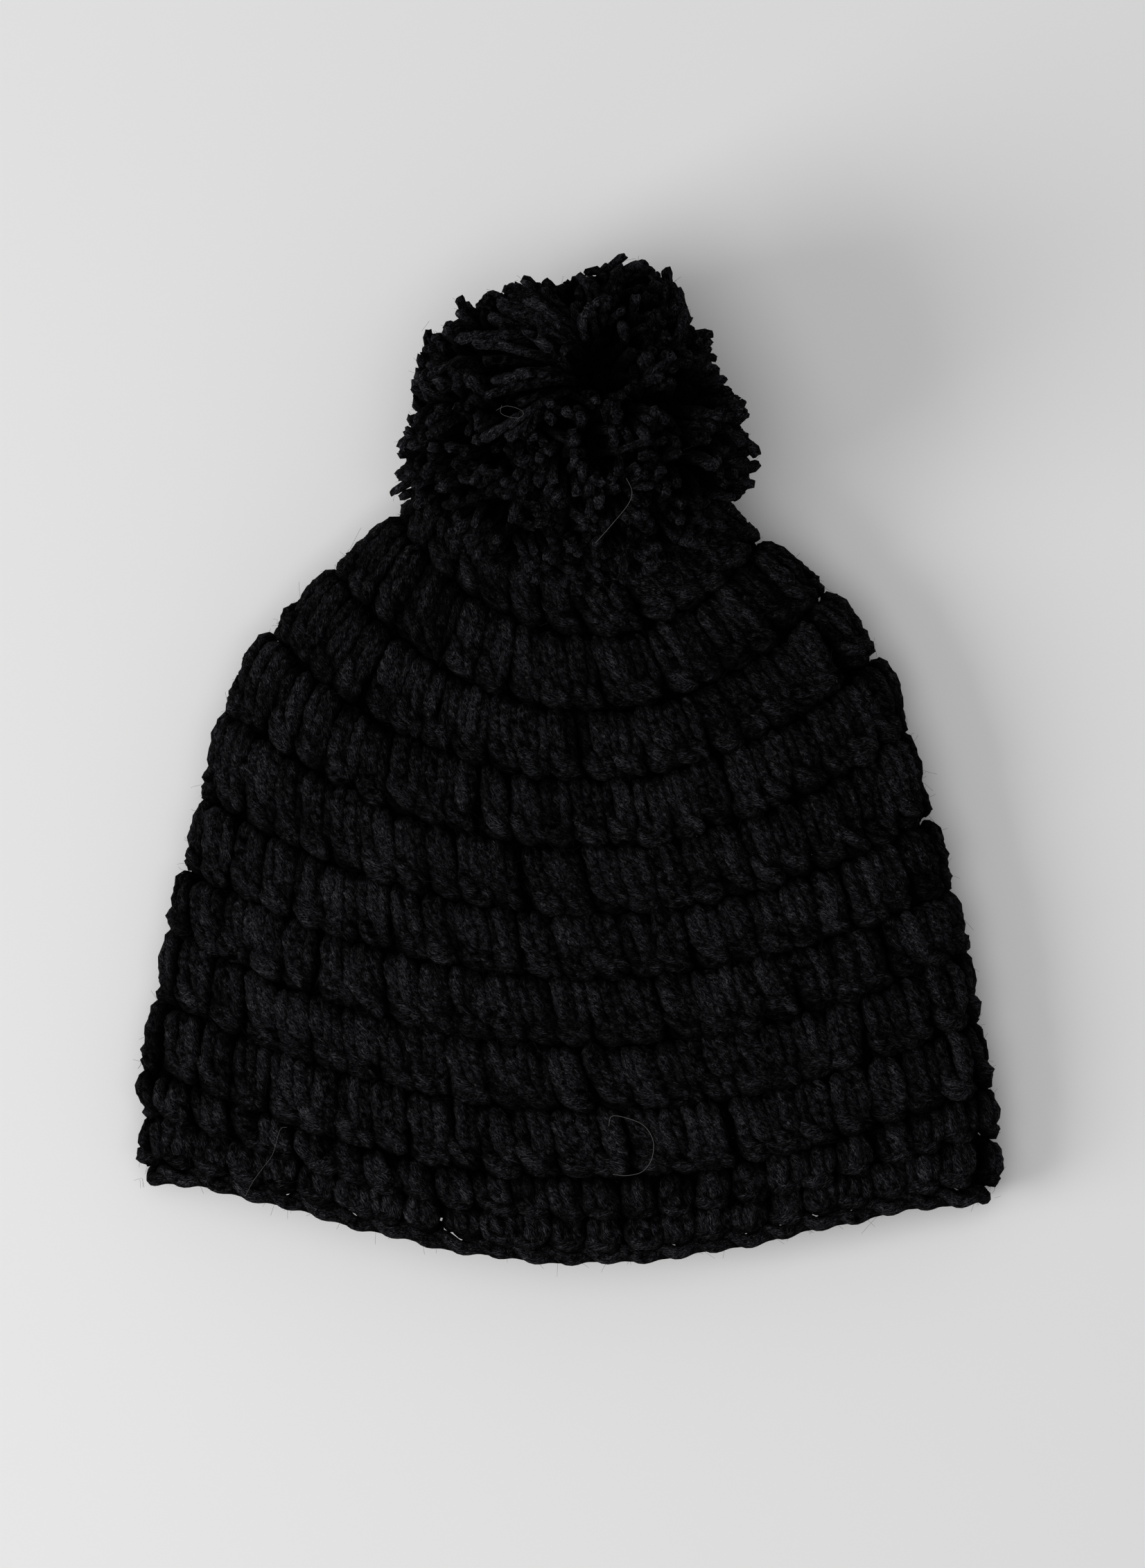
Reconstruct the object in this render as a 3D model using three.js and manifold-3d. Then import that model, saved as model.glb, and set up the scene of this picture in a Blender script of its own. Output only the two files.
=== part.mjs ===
// A chunky crocheted beanie with a cut-yarn pompom, lying flat on its back panel.
// Millimetres. X runs across the hat, +Y points from the mouth to the pompom, +Z points up.
// The origin is under the middle of the whole thing, on the surface that it lies on.

import * as THREE from "three";
import { mergeVertices } from "three/addons/utils/BufferGeometryUtils.js";
import Module from "manifold-3d";

const wasm = await Module();
wasm.setup();

// Driving sizes of the crocheted wall, each measured from the middle of its thickness
const wall = {
  inside: 3.5, // middle of the wall to its inner face
  groove: 2.2, // to the bottom of the groove between two rounds
  stitch: 5.2, // to the top of a stitch
  betweenStitches: 3.7, // to the dip between two stitches of one round
  lean: 0.45, // how far a stitch leans to the right on its way down, in stitches
  slant: 3, // the left side of each round lies this much higher up the hat than its middle
  sideLevel: 0.45, // level of the folded sides, as a share of the way from the back to the front
  frontSquareness: 2.5, // power of the rounded front of a section, where 2 is an ellipse
  backSquareness: 4.5, // the same for the back, which lies flatter
};
const pieceGap = 0.3; // between pieces that meet

// The grooves between rounds, from the starting ring at the tip down to the mouth.
// half: half the flat width at the groove; midX: how far its middle is off the centre line;
// sideY, frontY, backY: its place at the folded sides and in the middle of the front and back;
// under, over: heights of the middle of the back wall and of the front wall;
// stitches: in the round that starts there; sag: power of its bend across the front
const grooveTable = [
  // half, midX, sideY, frontY, backY, under, over, stitches, sag
  [8.7, 1.0, 88, 87, 87, 15, 28, 9, 1.0],
  [23, 1.0, 84, 71, 71, 9, 33, 18, 0.8],
  [38, 1.8, 74, 52, 53, 5.5, 35, 27, 0.8],
  [51.5, 3.6, 61.6, 33, 34, 4, 35.5, 36, 0.85],
  [69.3, 3.2, 46.9, 12.5, 14, 3.4, 35, 42, 0.85],
  [84.8, 1.4, 29.5, -6.8, -5, 3.4, 34.5, 46, 0.9],
  [94.6, -0.1, 8.4, -25.5, -23, 3.4, 34, 48, 0.9],
  [101, 0.1, -16, -44.2, -41, 3.4, 33, 48, 0.95],
  [106.2, 0.0, -36.3, -62, -58, 3.4, 32, 48, 1.0],
  [110.4, 0.1, -53.3, -81, -76, 3.4, 31, 48, 1.0],
  [113.8, 0.1, -73.2, -99.3, -94, 3.4, 30, 48, 1.1],
  [117.8, -0.5, -91, -117.6, -111.5, 3.4, 29, 48, 1.15],
  [117.3, 0.7, -104, -128.6, -120.5, 3.4, 28, 48, 1.4],
  [118.3, 0.2, -117, -136.6, -127.5, 3.4, 27, 48, 1.9],
  [117.7, 0.2, -123, -142, -132.5, 3.4, 26.5, 48, 1.9],
];
const grooves = grooveTable.map(([half, midX, sideY, frontY, backY, under, over, stitches, sag]) => (
  { half, midX, sideY, frontY, backY, under, over, stitches, sag }
));
const crownEnd = 11; // groove where the tall rounds end and the short ones begin
const bandEnd = 13; // groove where the short rounds end and the edge begins

// Heights within one round, as shares of the way down it, where the stitches stand proud
const stitchRows = [0.26, 0.74];

// The edge is a cord: at is its place below the last groove, swell how much each stitch thickens it
const edge = { at: 13.42, radius: 2.1, swell: 0.5, sides: 5 };

const pompom = {
  x: 2.5, y: 91.5, z: 44, // middle of the ball
  head: { x: 36, y: 35, z: 34 }, // half sizes of the packed heart
  reach: { x: 48.5, y: 49.5, z: 43.5 }, // half sizes out to the ends of the locks
  locks: 60,
  unevenness: 3, // how much longer or shorter a lock may be
  scatter: 0.06, // how far a lock may point away from its even place, as a share of the radius
  lockRadius: 8.8,
  lockVariation: 0.18, // how much thicker or thinner a lock may be, as a share of its radius
  lockSides: 5,
  kept: 0.72, // a lock is left out where less than this share of it stands clear of the crown
};

// The tie runs along Y from a knot inside the crown to its end inside the pompom
const tie = { x: 1, z: 21.5, radius: 2.2, from: 74, to: 97, knotRadius: 4.6, knotLength: 6, sides: 12 };

const yarn = new THREE.MeshStandardMaterial({ color: 0x0c0c0d, roughness: 0.95, metalness: 0 });
const pompomYarn = yarn.clone();
const tieYarn = yarn.clone();

// Smooth curve through one column of the table, read at any place between grooves
const columns = {};
for (const name of Object.keys(grooves[0])) {
  columns[name] = new THREE.SplineCurve(grooves.map((row, i) => new THREE.Vector2(i, row[name])));
}
const column = (name, place) => columns[name].getPoint(place / (grooves.length - 1)).y;

const signedPower = (value, power) => Math.sign(value) * Math.abs(value) ** power;

// Point on the middle of the wall: place counts grooves from the tip, angle goes round the section
// from the left side (pi) over the front (pi / 2) to the right side (0) and back underneath
function sectionPoint(place, angle) {
  const front = Math.sin(angle) >= 0;
  const squareness = front ? wall.frontSquareness : wall.backSquareness;
  const across = signedPower(Math.cos(angle), 2 / squareness);
  const rise = Math.abs(Math.sin(angle)) ** (2 / squareness);
  const under = column("under", place);
  const over = column("over", place);
  const side = THREE.MathUtils.lerp(under, over, wall.sideLevel);
  const sideY = column("sideY", place);
  const middleY = column(front ? "frontY" : "backY", place);
  const sagged = Math.max(0, 1 - across * across) ** column("sag", place);
  return new THREE.Vector3(
    column("midX", place) + (column("half", place) - wall.groove) * across,
    sideY - wall.slant * across + (middleY - sideY) * sagged,
    side + ((front ? over : under) - side) * rise,
  );
}

// Angles that divide a section into equal lengths, kept for each place that has been asked for
const sectionSteps = 180;
const sectionCache = new Map();
function sectionLengths(place) {
  if (!sectionCache.has(place)) {
    const lengths = [0];
    let last = sectionPoint(place, Math.PI);
    for (let i = 1; i <= sectionSteps; i += 1) {
      const next = sectionPoint(place, Math.PI * (1 - (2 * i) / sectionSteps));
      lengths.push(lengths[i - 1] + next.distanceTo(last));
      last = next;
    }
    sectionCache.set(place, lengths);
  }
  return sectionCache.get(place);
}

// Point on the middle of the wall after a share of one turn, measured along the round
function wallMiddle(place, turn) {
  const lengths = sectionLengths(place);
  const wanted = THREE.MathUtils.euclideanModulo(turn, 1) * lengths[sectionSteps];
  let i = 0;
  while (i < sectionSteps - 1 && lengths[i + 1] < wanted) i += 1;
  const share = (wanted - lengths[i]) / (lengths[i + 1] - lengths[i]);
  return sectionPoint(place, Math.PI * (1 - (2 * (i + share)) / sectionSteps));
}

// Point at a distance out from the middle of the wall, and at a distance further down the hat
function wallPoint(place, turn, out, down = 0) {
  const step = { place: 0.04, turn: 0.004 };
  const above = Math.max(0, place - step.place);
  const below = Math.min(grooves.length - 1, place + step.place);
  const downwards = wallMiddle(below, turn).sub(wallMiddle(above, turn)).normalize();
  const along = wallMiddle(place, turn + step.turn).sub(wallMiddle(place, turn - step.turn));
  const outwards = new THREE.Vector3().crossVectors(downwards, along).normalize();
  const point = wallMiddle(place, turn).addScaledVector(outwards, out).addScaledVector(downwards, down);
  point.z = Math.max(point.z, 0);
  return point;
}

// A ring of points once round the hat, each with its turn
function ring(count, turnAt, pointAt) {
  return Array.from({ length: count }, (unused, i) => ({ turn: turnAt(i), point: pointAt(turnAt(i), i) }));
}

// Closed skin through a loop of rings, the last ring joined to the first.
// Between two rings the next corner is always the one that comes first on the way round,
// so the rings may have different numbers of points.
function skin(rings) {
  const positions = [];
  const starts = [];
  for (const points of rings) {
    starts.push(positions.length / 3);
    for (const { point } of points) positions.push(point.x, point.y, point.z);
  }
  const triangles = [];
  rings.forEach((upper, r) => {
    const next = (r + 1) % rings.length;
    const lower = rings[next];
    const turnOf = (points, i) => points[i % points.length].turn + Math.floor(i / points.length);
    const corner = (start, points, i) => start + (i % points.length);
    let i = 0;
    let j = 0;
    while (i < upper.length || j < lower.length) {
      const a = corner(starts[r], upper, i);
      const b = corner(starts[next], lower, j);
      const goUpper = j >= lower.length || (i < upper.length && turnOf(upper, i + 1) < turnOf(lower, j + 1));
      if (goUpper) {
        i += 1;
        triangles.push(a, b, corner(starts[r], upper, i));
      } else {
        j += 1;
        triangles.push(a, b, corner(starts[next], lower, j));
      }
    }
  });
  const geometry = new THREE.BufferGeometry();
  geometry.setAttribute("position", new THREE.Float32BufferAttribute(positions, 3));
  geometry.setIndex(triangles);
  return geometry;
}

// Outer ring in a round: one point on each stitch and one in each dip, leaning as it goes down
function stitchRing(round, down) {
  const stitches = grooves[round].stitches;
  const turnAt = (i) => (i / 2 + wall.lean * down) / stitches;
  const outAt = (i) => (i % 2 ? wall.betweenStitches : wall.stitch);
  return ring(2 * stitches, turnAt, (turn, i) => wallPoint(round + down, turn, outAt(i)));
}

// Outer ring in a groove, with as many points as the stitches of a round beside it
function grooveRing(round, place) {
  const count = 2 * grooves[round].stitches;
  return ring(count, (i) => i / count, (turn) => wallPoint(place, turn, wall.groove));
}

// Inner ring: one point for each stitch
function innerRing(round, place) {
  const stitches = grooves[round].stitches;
  return ring(stitches, (i) => i / stitches, (turn) => wallPoint(place, turn, -wall.inside));
}

// A shell of whole rounds, with a rib for each round and a bump for each stitch.
// trimTop and trimEnd leave the gap to the pieces above and below, as shares of a round.
function roundsShell(firstRound, endRound, trimTop, trimEnd) {
  const outer = [];
  const inner = [];
  for (let round = firstRound; round < endRound; round += 1) {
    const start = round === firstRound ? round + trimTop : round;
    outer.push(grooveRing(round, start));
    for (const down of stitchRows) outer.push(stitchRing(round, down));
    inner.push(innerRing(round, start));
  }
  outer.push(grooveRing(endRound - 1, endRound - trimEnd));
  inner.push(innerRing(endRound - 1, endRound - trimEnd));
  return skin([...outer, ...inner.reverse()]);
}

// The share of a round that a gap takes up, from the height of that round at the front
function gapShare(round, gap) {
  return gap / Math.abs(grooves[round + 1].frontY - grooves[round].frontY);
}

// Tall rounds, closed over the head up to the starting ring
function crownGeometry() {
  return roundsShell(0, crownEnd, 0, gapShare(crownEnd - 1, pieceGap) / 2);
}

// Two short rounds round the mouth
function bandGeometry() {
  const trimTop = gapShare(crownEnd, pieceGap) / 2;
  const trimEnd = gapShare(bandEnd - 1, pieceGap) / 2;
  return roundsShell(crownEnd, bandEnd, trimTop, trimEnd);
}

// Edge of the mouth: a chain that looks like a twisted cord, with a swelling for each stitch
function edgeGeometry() {
  const stitches = grooves[bandEnd].stitches;
  const rings = [];
  for (let side = 0; side < edge.sides; side += 1) {
    const angle = (2 * Math.PI * side) / edge.sides;
    rings.push(
      ring(2 * stitches, (i) => i / (2 * stitches), (turn) => {
        const radius = edge.radius + edge.swell * Math.cos(2 * Math.PI * stitches * turn - angle);
        return wallPoint(edge.at, turn, radius * Math.cos(angle), radius * Math.sin(angle));
      }),
    );
  }
  return skin(rings);
}

// Geometry to solid and back, for joining and cutting
function toSolid(geometry) {
  const bare = new THREE.BufferGeometry();
  bare.setAttribute("position", geometry.getAttribute("position").clone());
  if (geometry.index) bare.setIndex(geometry.index.clone());
  const merged = mergeVertices(bare, 1e-4);
  const vertProperties = new Float32Array(merged.getAttribute("position").array);
  const triVerts = new Uint32Array(merged.index.array);
  return new wasm.Manifold(new wasm.Mesh({ numProp: 3, vertProperties, triVerts }));
}

function toGeometry(solid) {
  const mesh = solid.getMesh();
  const geometry = new THREE.BufferGeometry();
  geometry.setAttribute("position", new THREE.Float32BufferAttribute(mesh.vertProperties, 3));
  geometry.setIndex(Array.from(mesh.triVerts));
  return geometry;
}

// Repeatable random numbers from -1 to 1
function makeRandom(seed) {
  let state = seed;
  return () => {
    state = (state * 1664525 + 1013904223) % 4294967296;
    return state / 2147483648 - 1;
  };
}

// The room that the top of the crown takes up, with a gap all round, as one closed block.
// above: how far it starts beyond the tip; end: the groove it stops at, well below the pompom
function crownRoom() {
  const room = { out: wall.stitch + 2 * pieceGap, above: 1.5, end: 5, step: 0.5, corners: 36 };
  const turnAt = (i) => i / room.corners;
  const rings = [ring(room.corners, turnAt, (turn) => wallPoint(0, turn, room.out, -room.above))];
  for (let place = room.step; place <= room.end; place += room.step) {
    rings.push(ring(room.corners, turnAt, (turn) => wallPoint(place, turn, room.out)));
  }
  const closing = (points) => {
    const middle = new THREE.Vector3();
    for (const { point } of points) middle.addScaledVector(point, 1 / points.length);
    return ring(1, () => 0, () => middle);
  };
  rings.push(closing(rings[rings.length - 1]));
  rings.unshift(closing(rings[0]));
  return toSolid(skin(rings));
}

// One lock: widening from a point inside the heart to its full width, with a blunt, domed end.
// along: share of the way from the middle of the pompom to the end; width: share of the full radius
const lockRoot = 0.4;
const lockRows = [
  { along: 0.82, width: 1 },
  { along: 0.96, width: 0.82 },
];
function lockSolid(direction, reach, radius, spin) {
  const sides = pompom.lockSides;
  const across = new THREE.Vector3(0, 0, 1).cross(direction);
  if (across.lengthSq() < 0.01) across.set(1, 0, 0);
  across.normalize();
  const other = new THREE.Vector3().crossVectors(direction, across);
  const points = [direction.clone().multiplyScalar(reach * lockRoot), direction.clone().multiplyScalar(reach)];
  const triangles = [];
  lockRows.forEach((row, r) => {
    for (let i = 0; i < sides; i += 1) {
      const angle = spin + (2 * Math.PI * i) / sides;
      const point = direction.clone().multiplyScalar(reach * row.along);
      point.addScaledVector(across, radius * row.width * Math.cos(angle));
      point.addScaledVector(other, radius * row.width * Math.sin(angle));
      points.push(point);
      const here = 2 + r * sides + i;
      const beside = 2 + r * sides + ((i + 1) % sides);
      if (r === 0) triangles.push(0, beside, here);
      else triangles.push(here - sides, beside - sides, here, beside - sides, beside, here);
      if (r === lockRows.length - 1) triangles.push(1, here, beside);
    }
  });
  const geometry = new THREE.BufferGeometry().setFromPoints(points);
  geometry.setIndex(triangles);
  geometry.translate(pompom.x, pompom.y, pompom.z);
  return toSolid(geometry);
}

// Distance from the middle of the pompom to the end of a lock in a direction, never below the floor
function lockReach(direction, extra) {
  const { x, y, z } = pompom.reach;
  const ball = 1 / Math.hypot(direction.x / x, direction.y / y, direction.z / z) + extra;
  return direction.z < 0 ? Math.min(ball, pompom.z / -direction.z) : ball;
}

// Packed heart with locks standing out of it all round, cut clear of the crown, the tie and the floor
function pompomGeometry() {
  const random = makeRandom(71);
  const heart = new THREE.IcosahedronGeometry(1, 2);
  heart.scale(pompom.head.x, pompom.head.y, pompom.head.z);
  heart.translate(pompom.x, pompom.y, pompom.z);
  const room = crownRoom();
  let ball = toSolid(heart);
  const goldenAngle = Math.PI * (3 - Math.sqrt(5));
  for (let i = 0; i < pompom.locks; i += 1) {
    const height = 1 - (2 * i + 1) / pompom.locks;
    const round = Math.sqrt(1 - height * height);
    const direction = new THREE.Vector3(
      round * Math.cos(i * goldenAngle) + pompom.scatter * random(),
      round * Math.sin(i * goldenAngle) + pompom.scatter * random(),
      height + pompom.scatter * random(),
    ).normalize();
    const reach = lockReach(direction, pompom.unevenness * random());
    const radius = pompom.lockRadius * (1 + pompom.lockVariation * random());
    const lock = lockSolid(direction, reach, radius, Math.PI * random());
    const kept = lock.subtract(room).volume() / lock.volume();
    if (kept > pompom.kept) ball = ball.add(lock);
  }
  const tieRadius = tie.radius + pieceGap;
  const tieLength = tie.to - tie.from;
  const tieRoom = new THREE.CylinderGeometry(tieRadius, tieRadius, tieLength, tie.sides);
  tieRoom.translate(tie.x, tie.from + tieLength / 2 + pieceGap, tie.z);
  const floor = new THREE.BoxGeometry(4 * pompom.reach.x, 4 * pompom.reach.y, pompom.z);
  floor.translate(pompom.x, pompom.y, -pompom.z / 2);
  return toGeometry(ball.subtract(room).subtract(toSolid(tieRoom)).subtract(toSolid(floor)));
}

// Yarn that holds the pompom: a knot inside the crown, and a cord out through the starting ring
function tieGeometry() {
  const neck = tie.from + tie.knotLength;
  const profile = [
    new THREE.Vector2(0, tie.from),
    new THREE.Vector2(tie.radius, tie.from),
    new THREE.Vector2(tie.knotRadius, tie.from + tie.knotLength / 2),
    new THREE.Vector2(tie.radius, neck),
    new THREE.Vector2(tie.radius, tie.to),
    new THREE.Vector2(0, tie.to),
  ];
  return new THREE.LatheGeometry(profile, tie.sides);
}

function namedMesh(name, geometry, material) {
  const mesh = new THREE.Mesh(geometry, material);
  mesh.name = name;
  return mesh;
}

const tieMesh = namedMesh("pompom_tie", tieGeometry(), tieYarn);
tieMesh.position.set(tie.x, 0, tie.z);

const beanie = new THREE.Group();
beanie.add(namedMesh("crown", crownGeometry(), yarn));
beanie.add(namedMesh("brim_band", bandGeometry(), yarn));
beanie.add(namedMesh("brim_edge", edgeGeometry(), yarn));
beanie.add(namedMesh("pompom", pompomGeometry(), pompomYarn));
beanie.add(tieMesh);

export default beanie;
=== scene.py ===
import bpy
import numpy as np
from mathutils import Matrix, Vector


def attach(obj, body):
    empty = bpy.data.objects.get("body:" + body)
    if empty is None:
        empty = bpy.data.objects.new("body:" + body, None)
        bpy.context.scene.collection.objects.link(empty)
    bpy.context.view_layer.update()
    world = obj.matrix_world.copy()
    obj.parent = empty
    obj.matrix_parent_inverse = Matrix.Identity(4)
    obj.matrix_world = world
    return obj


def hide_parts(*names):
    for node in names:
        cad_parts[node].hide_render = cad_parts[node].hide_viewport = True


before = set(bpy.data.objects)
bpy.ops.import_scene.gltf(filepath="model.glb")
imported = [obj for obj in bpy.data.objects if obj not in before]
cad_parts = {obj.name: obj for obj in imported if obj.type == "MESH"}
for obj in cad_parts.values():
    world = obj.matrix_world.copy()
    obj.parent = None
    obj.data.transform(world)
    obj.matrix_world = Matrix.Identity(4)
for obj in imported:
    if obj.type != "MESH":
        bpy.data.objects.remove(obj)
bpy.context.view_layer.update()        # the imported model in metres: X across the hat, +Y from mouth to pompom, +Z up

mm = 0.001               # sizes below are in millimetres and become metres when a mesh is made


# How the hat is seen: from straight above, the long side of the picture along Y

view = {
    "aim": (1.3, -7.1, 18),     # middle of the picture, at half the hat's height
    "distance": 2200,
    "seen": 440.8,              # height of the picture at that distance
    "sensor": 36,
}


def makeCamera():
    data = bpy.data.cameras.new("camera")
    data.sensor_width = view["sensor"]
    data.lens = view["sensor"] * view["distance"] / view["seen"]
    data.clip_start = 0.01
    data.clip_end = 50
    camera = bpy.data.objects.new("camera", data)
    camera.location = (Vector(view["aim"]) + Vector((0, 0, view["distance"]))) * mm
    bpy.context.scene.collection.objects.link(camera)
    bpy.context.scene.camera = camera


# Small helpers for arrays, meshes and materials

upward = np.array([0.0, 0.0, 1.0])


def unit(vectors):
    # each vector divided by its length
    return vectors / np.maximum(np.linalg.norm(vectors, axis=-1, keepdims=True), 1e-9)


def curveThrough(values, count):
    # uniform Catmull-Rom curve through the rows of values, read at count even places:
    # between two rows a cubic whose slope at each is half the difference of its neighbours
    values = np.asarray(values, float)
    place = np.linspace(0, len(values) - 1, count)
    return readCurve(values, place)


def readCurve(values, place):
    # the same curve read at any places
    last = len(values) - 1
    i = np.clip(np.floor(place).astype(int), 0, last - 1)
    t = place - i
    if values.ndim > 1:
        t = t[..., None]
    before = values[np.maximum(i - 1, 0)]
    here = values[i]
    there = values[i + 1]
    after = values[np.minimum(i + 2, last)]
    slopeHere = (there - before) / 2
    slopeThere = (after - here) / 2
    cubic = 2 * here - 2 * there + slopeHere + slopeThere
    square = -3 * here + 3 * there - 2 * slopeHere - slopeThere
    return ((cubic * t + square) * t + slopeHere) * t + here


def settle(points):
    # what would lie lower than 1 mm is pressed flatter, height = exp(z - 1), so nothing is under the floor
    z = points[..., 2]
    points[..., 2] = np.where(z < 1, np.exp(np.minimum(z, 1) - 1), z)
    return points


frayedSplay = (-0.25, 0.3)  # how far the corners of a frayed end move in or out, as a share of the radius


def tubes(path, up, radius, sides, rng, lobes=0.0, twist=0.0, dome=0.6, ends=None,
          height=None, full=1.0, fray=0.0):
    # Many closed tubes at once. A ring goes round each path point c: c + r (cos a side + sin a rise),
    # side = tangent x up, rise = side x tangent, a = 2 pi k / sides + twist s,
    # r = radius (1 + lobes cos(pi k)), where s is the length so far: every second corner stands out,
    # so that the plies wind along the strand. A pole closes each end, dome radii beyond it, or at the
    # given ends. fray: how far the corners of the last ring stray along the strand, where it is cut.
    # path: (tubes, rings, 3), and up to match; radius: (tubes, rings). UV: millimetres along and around.
    # lift is painted shade: how much light is taken to get down to a point, (height of the path + r sin a) / full,
    # from 0 to 1, and the yarn's colour darkens with it.
    count, rings, _ = path.shape
    steps = np.linalg.norm(np.diff(path, axis=1), axis=2)
    length = np.concatenate([np.zeros((count, 1)), np.cumsum(steps, axis=1)], axis=1)
    tangent = unit(np.gradient(path, axis=1))
    side = unit(np.cross(tangent, up))
    rise = np.cross(side, tangent)
    k = np.arange(sides)
    firstAngle = rng.uniform(0, 2 * np.pi, (count, 1)) * (twist > 0)
    angle = 2 * np.pi * k / sides + (firstAngle + twist * length)[..., None]
    r = radius[:, :, None] * (1 + lobes * np.cos(np.pi * k))
    points = path[:, :, None] + r[..., None] * (
        np.cos(angle)[..., None] * side[:, :, None] + np.sin(angle)[..., None] * rise[:, :, None])
    if fray:
        points[:, -1] += tangent[:, -1:] * rng.uniform(-fray, fray, (count, sides, 1))
        points[:, -1] += (points[:, -1] - path[:, -1:]) * rng.uniform(*frayedSplay, (count, sides, 1))
    if ends is None:
        first = path[:, 0] - dome * radius[:, :1] * tangent[:, 0]
        last = path[:, -1] + dome * radius[:, -1:] * tangent[:, -1]
    else:
        first, last = ends
    points = np.concatenate([points.reshape(count, rings * sides, 3), first[:, None], last[:, None]], axis=1)
    if height is None:
        lift = np.ones(points.shape[:2])
    else:
        lift = (height[:, :, None] + r * np.sin(angle)).reshape(count, rings * sides) / full
        lift = np.concatenate([lift, height[:, :1] / full, height[:, -1:] / full], axis=1)

    ring, around = np.meshgrid(np.arange(rings - 1), np.arange(sides), indexing="ij")
    beside = (around + 1) % sides
    quads = np.stack([ring * sides + around, (ring + 1) * sides + around,
                      (ring + 1) * sides + beside, ring * sides + beside], axis=-1).reshape(-1, 4)
    kNext = (k + 1) % sides
    firstPole, lastPole = rings * sides, rings * sides + 1
    top = (rings - 1) * sides
    triangles = np.concatenate([
        np.stack([np.full(sides, firstPole), k, kNext], axis=-1),
        np.stack([np.full(sides, lastPole), top + kNext, top + k], axis=-1)])

    # UV corner by corner, each tube with its own offset so that no two show the same fibres
    width = 2 * np.pi * radius.mean() / sides
    offset = rng.uniform(0, 400, (count, 1, 2))
    quadRing = np.stack([ring, ring + 1, ring + 1, ring], axis=-1).reshape(-1, 4)
    quadSide = np.stack([around, around, around + 1, around + 1], axis=-1).reshape(-1, 4)
    acrossTube = np.broadcast_to(quadSide * width, (count,) + quadSide.shape)
    quadUV = np.stack([length[:, quadRing], acrossTube], axis=-1)
    corner = np.stack([np.full(sides, -1), k, kNext], axis=-1)
    corner = np.concatenate([corner, corner[:, [0, 2, 1]]])
    cornerAngle = 2 * np.pi * corner / sides
    rim = np.stack([np.cos(cornerAngle), np.sin(cornerAngle)], axis=-1)
    flat = np.where(corner[..., None] < 0, 0, rim)
    capRadius = np.where(np.arange(2 * sides) < sides, radius[:, :1], radius[:, -1:])
    capUV = flat * capRadius[:, :, None, None] + length[:, -1, None, None, None] * [1, 0]
    start = (np.arange(count) * points.shape[1])[:, None, None]
    return {
        "points": settle(points.reshape(-1, 3)),
        "quads": (quads[None] + start).reshape(-1, 4),
        "triangles": (triangles[None] + start).reshape(-1, 3),
        "quadUV": (quadUV + offset[:, :, None]).reshape(-1, 4, 2),
        "triangleUV": (capUV + offset[:, :, None]).reshape(-1, 3, 2),
        "tone": np.repeat(rng.uniform(0, 1, count), points.shape[1]),
        "lift": np.clip(lift, 0, 1).ravel(),
    }


def closedSheet(points):
    # A sheet of rows and columns of points, closed both ways like the skin of a ring.
    # Corners go round each cell against the clock, seen from outside.
    rows, columns, _ = points.shape
    row, column = np.meshgrid(np.arange(rows), np.arange(columns), indexing="ij")
    nextRow, nextColumn = (row + 1) % rows, (column + 1) % columns
    quads = np.stack([row * columns + column, nextRow * columns + column,
                      nextRow * columns + nextColumn, row * columns + nextColumn], axis=-1).reshape(-1, 4)
    uv = np.stack([np.stack([column, column, column + 1, column + 1], axis=-1),
                   np.stack([row, row + 1, row + 1, row], axis=-1)], axis=-1).reshape(-1, 4, 2)
    return {
        "points": settle(points.reshape(-1, 3)),
        "quads": quads,
        "triangles": np.zeros((0, 3), int),
        "quadUV": uv.astype(float),
        "triangleUV": np.zeros((0, 3, 2)),
        "tone": np.zeros(rows * columns),
        "lift": np.zeros(rows * columns),       # painted full shade: the sheet takes the deep colour
    }


def makePiece(name, shapes, material, nodes):
    # joins the shapes into one mesh, hangs it on the root and hides the CAD nodes that it stands for
    starts = np.cumsum([0] + [len(s["points"]) for s in shapes[:-1]])
    points = np.concatenate([s["points"] for s in shapes]) * mm
    quads = np.concatenate([s["quads"] + start for s, start in zip(shapes, starts)])
    triangles = np.concatenate([s["triangles"] + start for s, start in zip(shapes, starts)])
    uv = np.concatenate([s[part].reshape(-1, 2) for part in ("quadUV", "triangleUV") for s in shapes])
    corners = np.concatenate([quads.ravel(), triangles.ravel()])
    faceStarts = np.concatenate([4 * np.arange(len(quads)), 4 * len(quads) + 3 * np.arange(len(triangles))])
    mesh = bpy.data.meshes.new(name)
    mesh.vertices.add(len(points))
    mesh.vertices.foreach_set("co", points.ravel().astype(np.float32))
    mesh.loops.add(len(corners))
    mesh.loops.foreach_set("vertex_index", corners.astype(np.int32))
    mesh.polygons.add(len(faceStarts))
    mesh.polygons.foreach_set("loop_start", faceStarts.astype(np.int32))
    mesh.polygons.foreach_set("use_smooth", np.ones(len(faceStarts), bool))
    mesh.uv_layers.new(name="strand").uv.foreach_set("vector", uv.ravel().astype(np.float32))
    for attribute in ("tone", "lift"):
        values = np.concatenate([s[attribute] for s in shapes]).astype(np.float32)
        mesh.attributes.new(attribute, "FLOAT", "POINT").data.foreach_set("value", values)
    mesh.update(calc_edges=True)
    mesh.validate()
    mesh.materials.append(material)
    piece = bpy.data.objects.new(name, mesh)
    bpy.context.scene.collection.objects.link(piece)
    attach(piece, "root")
    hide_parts(*nodes)
    print(name, 2 * len(quads) + len(triangles), "triangles")


def linear(hexColour):
    # sRGB to linear light: c / 12.92 up to 0.04045, above it ((c + 0.055) / 1.055) ** 2.4
    channels = [((hexColour >> shift) & 255) / 255 for shift in (16, 8, 0)]
    return (*[c / 12.92 if c <= 0.04045 else ((c + 0.055) / 1.055) ** 2.4 for c in channels], 1)


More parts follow.
